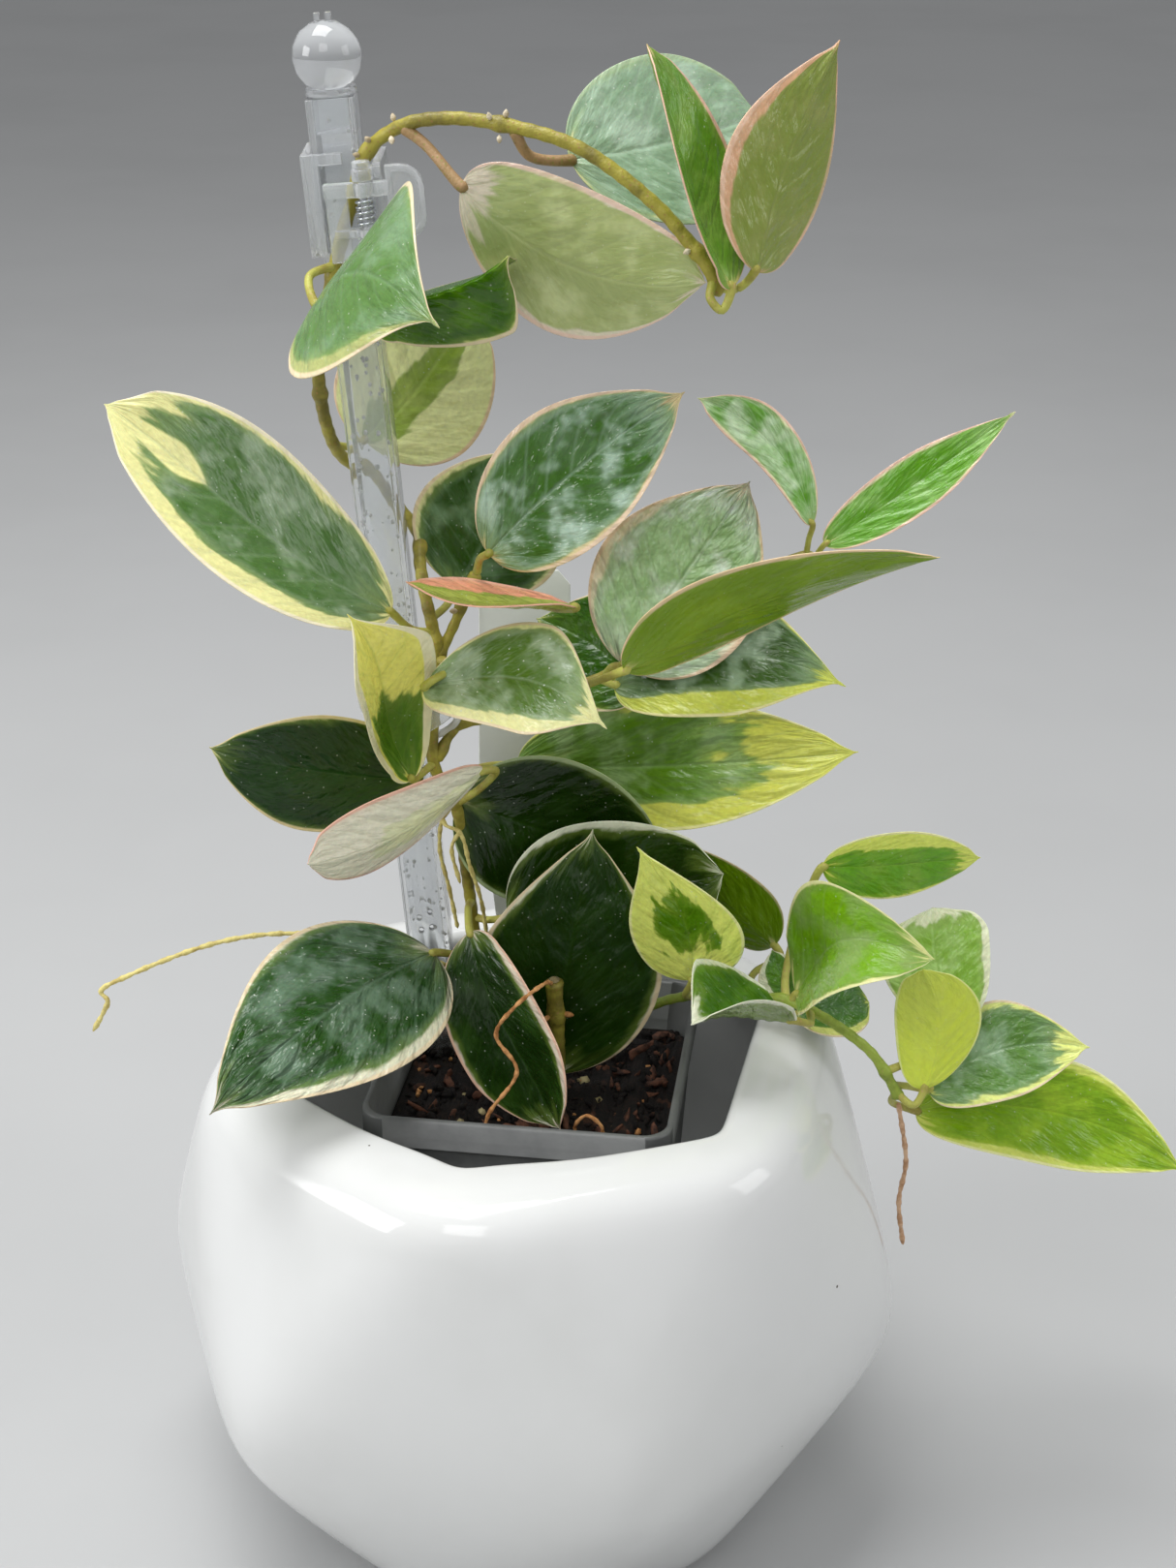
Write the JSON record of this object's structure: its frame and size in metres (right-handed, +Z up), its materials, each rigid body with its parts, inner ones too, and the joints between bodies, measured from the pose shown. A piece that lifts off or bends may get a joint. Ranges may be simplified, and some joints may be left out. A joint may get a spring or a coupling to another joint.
{
  "type": "potted climbing plant",
  "caption": "Variegated hoya climbing a clear square stake, in a square nursery pot inside a white faceted cachepot.",
  "frame": {"origin": "centre of the cachepot's flat base", "axes": "+Z up, +X to the right and -Y towards the viewer of the pictured front"},
  "size_m": [0.2779, 0.1786, 0.3752],
  "materials": {
    "glaze": "glossy white glaze with fine dark specks",
    "nursery_plastic": "thin grey translucent plastic",
    "potting_mix": "rough dark bark and peat with pale chunks",
    "clear_plastic": "clear glossy plastic",
    "spring_steel": "bright thin spring wire",
    "stem": "satin olive brown stem",
    "dry_root": "dry fibrous tan",
    "leaf_dark": "satin waxy dark green with cream margin",
    "leaf_green": "satin waxy green with pale margin",
    "leaf_pale": "satin waxy yellow-cream with green patches"
  },
  "bodies": {
    "plant": {"cachepot": "glaze", "nursery_pot": "nursery_plastic", "potting_mix": "potting_mix", "plant_label": "clear_plastic", "stake": "clear_plastic", "stake_ball": "clear_plastic", "clip_jaw": "clear_plastic", "vine_band": "clear_plastic", "clip_spring": "spring_steel", "climbing_vine": "stem", "trailing_vine": "stem", "cut_stump": "dry_root", "left_root": "dry_root", "stake_roots": "dry_root", "hanging_root": "dry_root", "leaf_01": "leaf_green", "leaf_02": "leaf_dark", "leaf_03": "leaf_pale", "leaf_04": "leaf_pale", "leaf_05": "leaf_green", "leaf_06": "leaf_green", "leaf_07": "leaf_pale", "leaf_08": "leaf_dark", "leaf_09": "leaf_pale", "leaf_10": "leaf_dark", "leaf_11": "leaf_pale", "leaf_12": "leaf_dark", "leaf_13": "leaf_green", "leaf_14": "leaf_pale", "leaf_15": "leaf_dark", "leaf_16": "leaf_green", "leaf_17": "leaf_green", "leaf_18": "leaf_dark", "leaf_19": "leaf_green", "leaf_20": "leaf_green", "leaf_21": "leaf_dark", "leaf_22": "leaf_dark", "leaf_23": "leaf_dark", "leaf_24": "leaf_dark", "leaf_25": "leaf_dark", "leaf_26": "leaf_dark", "leaf_27": "leaf_pale", "leaf_28": "leaf_dark", "leaf_29": "leaf_green", "leaf_30": "leaf_green", "leaf_31": "leaf_green", "leaf_32": "leaf_pale", "leaf_33": "leaf_green", "leaf_34": "leaf_green", "leaf_35": "leaf_green", "leaf_36": "leaf_green", "leaf_37": "leaf_green", "leaf_38": "leaf_green"},
    "clip_lever": {"clip_lever": "clear_plastic"}
  },
  "joints": [
    {"name": "clip_lever_hinge", "type": "hinge", "parent": "plant", "child": "clip_lever", "pos_m": [-0.03182, 0.00756, 0.33618], "axis": [-0.0719, -0.0196, 0.9972], "range_deg": [0, 20], "stiffness_Nm_per_rad": 0.02, "springref_deg": -20.05}
  ]
}
